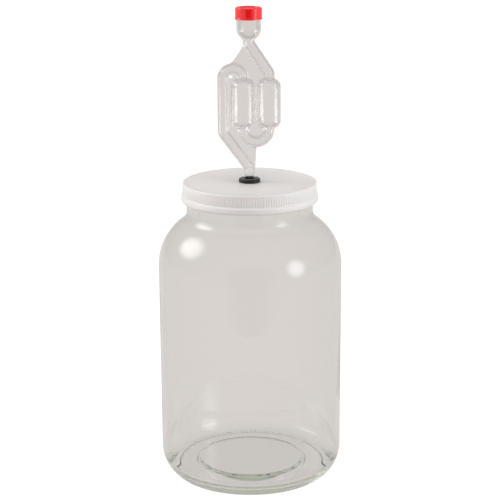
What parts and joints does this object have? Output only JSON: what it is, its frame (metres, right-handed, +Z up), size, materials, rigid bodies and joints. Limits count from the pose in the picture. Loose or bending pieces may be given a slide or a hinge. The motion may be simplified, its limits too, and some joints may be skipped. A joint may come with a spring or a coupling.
{
  "type": "wide-mouth glass fermenting jar",
  "caption": "Wide-mouth clear glass fermenting jar with a ribbed screw lid, rubber grommet and a twin-chamber airlock with a push-on cap.",
  "frame": {"origin": "centre of the jar's footprint, on the surface that it stands on", "axes": "+Z up along the jar's axis; the airlock's tubes and chambers lie in the XZ plane, with its single tube towards -X"},
  "size_m": [0.1548, 0.1548, 0.399],
  "materials": {
    "clear_glass": "clear moulded glass",
    "white_lid": "satin moulded polypropylene",
    "seal_foam": "soft closed-cell foam",
    "black_rubber": "moulded rubber",
    "clear_plastic": "clear moulded plastic",
    "red_plastic": "glossy moulded plastic"
  },
  "bodies": {
    "jar": {"glass_jar": "clear_glass"},
    "liner": {"lid_liner": "seal_foam"},
    "lid": {"screw_lid": "white_lid"},
    "grommet": {"grommet": "black_rubber"},
    "airlock": {"airlock_body": "clear_plastic"},
    "cap": {"airlock_cap": "red_plastic"}
  },
  "joints": [
    {"name": "lid_rise", "type": "slide", "parent": "jar", "child": "liner", "axis": [0, 0, 1], "range_m": [0, 0.0204]},
    {"name": "lid_turn", "type": "hinge", "parent": "liner", "child": "lid", "pos_m": [0, 0, 0.2523], "axis": [0, 0, 1], "range_deg": [0, 1440]},
    {"name": "airlock_swivel", "type": "hinge", "parent": "lid", "child": "grommet", "pos_m": [0, 0, 0.2538], "axis": [0, 0, 1], "continuous": true},
    {"name": "airlock_pull", "type": "slide", "parent": "grommet", "child": "airlock", "axis": [0, 0, 1], "range_m": [0, 0.03]},
    {"name": "cap_pull", "type": "slide", "parent": "airlock", "child": "cap", "axis": [0, 0, 1], "range_m": [0, 0.012]}
  ],
  "couplings": [
    {"joint": "lid_rise", "follows": "lid_turn", "m_per_rad": 0.00080851}
  ]
}
